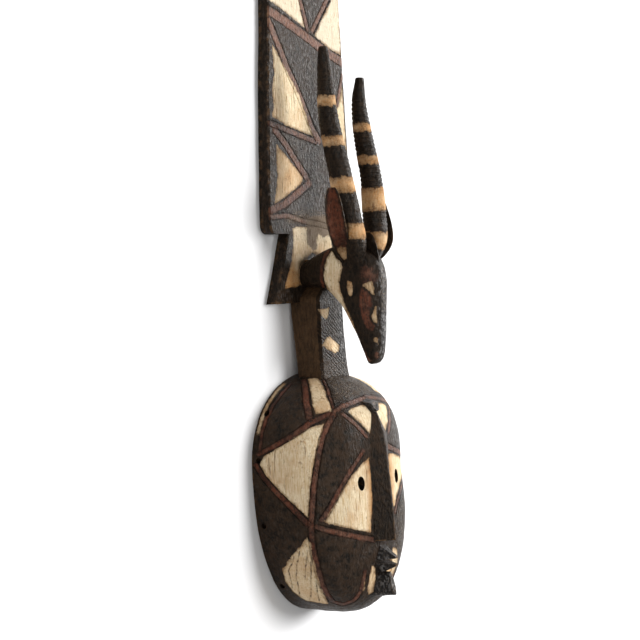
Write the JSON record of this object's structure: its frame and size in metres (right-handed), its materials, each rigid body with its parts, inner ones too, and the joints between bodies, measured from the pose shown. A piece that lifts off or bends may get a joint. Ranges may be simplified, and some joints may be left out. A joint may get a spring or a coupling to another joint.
{
  "type": "plank mask",
  "caption": "Carved and painted wooden plank mask: hollow oval face, tall flat plank and an antelope's head with long ringed horns, lying on its back.",
  "frame": {"origin": "centre of the bounding box's underside, which is the plane that the rim of the face and the back of the plank lie on", "axes": "+Z out of the front of the mask, +Y from the chin up the plank, +X to the right of someone who faces the mask"},
  "size_m": [0.2976, 1.7, 0.1627],
  "materials": {
    "painted_wood": "matt earth paint in cream, black and red-brown over adzed wood, worn and stained"
  },
  "bodies": {
    "root": {"plank_mask": "painted_wood"}
  },
  "joints": []
}
